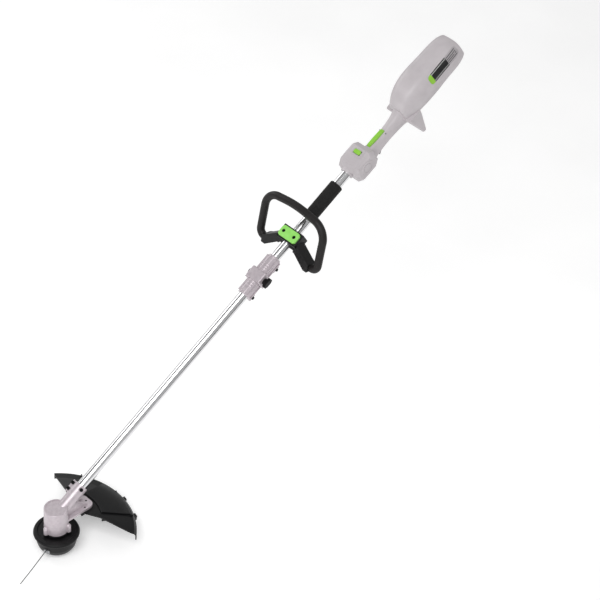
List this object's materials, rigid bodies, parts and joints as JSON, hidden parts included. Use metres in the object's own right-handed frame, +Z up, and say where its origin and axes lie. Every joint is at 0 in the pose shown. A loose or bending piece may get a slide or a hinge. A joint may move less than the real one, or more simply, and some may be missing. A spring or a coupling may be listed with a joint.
{
  "type": "string trimmer",
  "caption": "Cordless string trimmer: line head on a right-angle gear case, fan guard, two-piece tube with coupler, loop handle and rear grip with an open battery bay.",
  "frame": {"origin": "centre of the flat bottom of the bump knob, on the line head's spin axis", "axes": "+Z up along the spin axis, +X towards the operator: the shaft rises at 32 degrees in the XZ plane, +Y to the operator's left seen from behind the grip"},
  "size_m": [1.4913, 0.302, 0.9739],
  "materials": {
    "housing_grey": "moulded, fine texture",
    "trim_green": "moulded satin",
    "black_plastic": "moulded",
    "black_rubber": "soft overmould",
    "foam_black": "closed-cell foam",
    "tube_aluminium": "polished, anodised clear",
    "cast_silver": "die-cast, silver lacquer",
    "steel": "machined",
    "screw_black": "black oxide",
    "nylon_line": "extruded",
    "bronze": "sintered",
    "copper_core": "wound",
    "board_green": "lacquered",
    "badge_dark": "gloss"
  },
  "bodies": {
    "root": {"housing_left": "housing_grey", "housing_right": "housing_grey", "hub_discs": "housing_grey", "housing_base": "black_plastic", "guard": "black_plastic", "switch_module": "black_plastic", "terminal_block": "black_plastic", "shaft_bushes": "black_plastic", "foam_sleeve": "foam_black", "lower_tube": "tube_aluminium", "upper_tube": "tube_aluminium", "gear_housing": "cast_silver", "coupler_body": "cast_silver", "motor_end_plates": "cast_silver", "spindle_bearings": "steel", "pinion_bearings": "steel", "bearing_circlip": "steel", "line_cutter_blade": "steel", "motor_bearings": "steel", "pivot_pins": "steel", "case_screws": "screw_black", "neck_clamp_screws": "screw_black", "neck_locating_screw": "screw_black", "guard_screws": "screw_black", "blade_screws": "screw_black", "coupler_bolts": "screw_black", "housing_screws": "screw_black", "motor_stator": "copper_core", "controller_board": "board_green", "badge_panels": "badge_dark"},
    "line_head": {"head_cup": "black_plastic", "head_cover": "black_plastic", "line_eyelets": "steel", "line_end_front": "nylon_line", "line_end_rear": "nylon_line", "bevel_gear": "steel", "output_spindle": "steel", "spool_spring": "steel"},
    "bump_feed": {"bump_knob": "black_plastic", "spool": "black_plastic", "wound_line": "nylon_line"},
    "drive_train": {"bevel_pinion": "steel", "lower_drive_rod": "steel", "rod_sleeve": "steel", "upper_drive_rod": "steel", "motor_rotor": "steel", "motor_fan": "black_plastic"},
    "loop_handle": {"loop_handle": "black_rubber", "handle_bracket": "black_plastic", "handle_clamp": "black_plastic", "handle_cover": "trim_green", "handle_bolts": "screw_black"},
    "wing_knob": {"wing_knob": "black_plastic"},
    "release_button": {"release_button": "black_plastic"},
    "trigger": {"trigger": "housing_grey"},
    "lock_off_lever": {"lock_off_lever": "trim_green"},
    "power_button": {"power_button": "trim_green"},
    "battery_latch": {"battery_latch": "black_plastic"},
    "eject_plunger": {"eject_plunger": "black_plastic"}
  },
  "joints": [
    {"name": "head_spin", "type": "hinge", "parent": "root", "child": "line_head", "pos_m": [0, 0, 0.03], "axis": [0, 0, 1], "continuous": true},
    {"name": "bump_feed_slide", "type": "slide", "parent": "line_head", "child": "bump_feed", "axis": [0, 0, 1], "range_m": [0, 0.006], "stiffness_N_per_m": 2500, "springref_m": -0.004, "deforming": ["spool_spring"]},
    {"name": "drive_spin", "type": "hinge", "parent": "root", "child": "drive_train", "pos_m": [0.50883, 0, 0.42595], "axis": [0.848, 0, 0.5299], "continuous": true},
    {"name": "loop_handle_slide", "type": "slide", "parent": "root", "child": "loop_handle", "axis": [0.848, 0, 0.5299], "range_m": [-0.02, 0.04]},
    {"name": "wing_knob_turn", "type": "hinge", "parent": "root", "child": "wing_knob", "pos_m": [0.66063, -0.03, 0.52081], "axis": [0, -1, 0], "range_deg": [-720, 0]},
    {"name": "release_button_press", "type": "slide", "parent": "root", "child": "release_button", "axis": [0, -1, 0], "range_m": [0, 0.005], "stiffness_N_per_m": 1500, "springref_m": -0.002},
    {"name": "trigger_pull", "type": "hinge", "parent": "root", "child": "trigger", "pos_m": [1.08476, 0, 0.75164], "axis": [0, 1, 0], "range_deg": [0, 9], "stiffness_Nm_per_rad": 1.2, "springref_deg": -5.73},
    {"name": "lock_off_press", "type": "hinge", "parent": "root", "child": "lock_off_lever", "pos_m": [1.08031, 0, 0.77951], "axis": [0, -1, 0], "range_deg": [0, 5], "stiffness_Nm_per_rad": 1.2, "springref_deg": -5.73},
    {"name": "power_button_press", "type": "slide", "parent": "root", "child": "power_button", "axis": [0.5299, 0, -0.848], "range_m": [0, 0.0018], "stiffness_N_per_m": 1500, "springref_m": -0.001},
    {"name": "battery_latch_press", "type": "slide", "parent": "root", "child": "battery_latch", "axis": [-0.848, 0, -0.5299], "range_m": [0, 0.004], "stiffness_N_per_m": 1500, "springref_m": -0.002},
    {"name": "eject_plunger_press", "type": "slide", "parent": "root", "child": "eject_plunger", "axis": [-0.5299, 0, 0.848], "range_m": [0, 0.01], "stiffness_N_per_m": 1200, "springref_m": -0.003}
  ],
  "couplings": [
    {"joint": "drive_spin", "follows": "head_spin", "ratio": 1.3571}
  ]
}
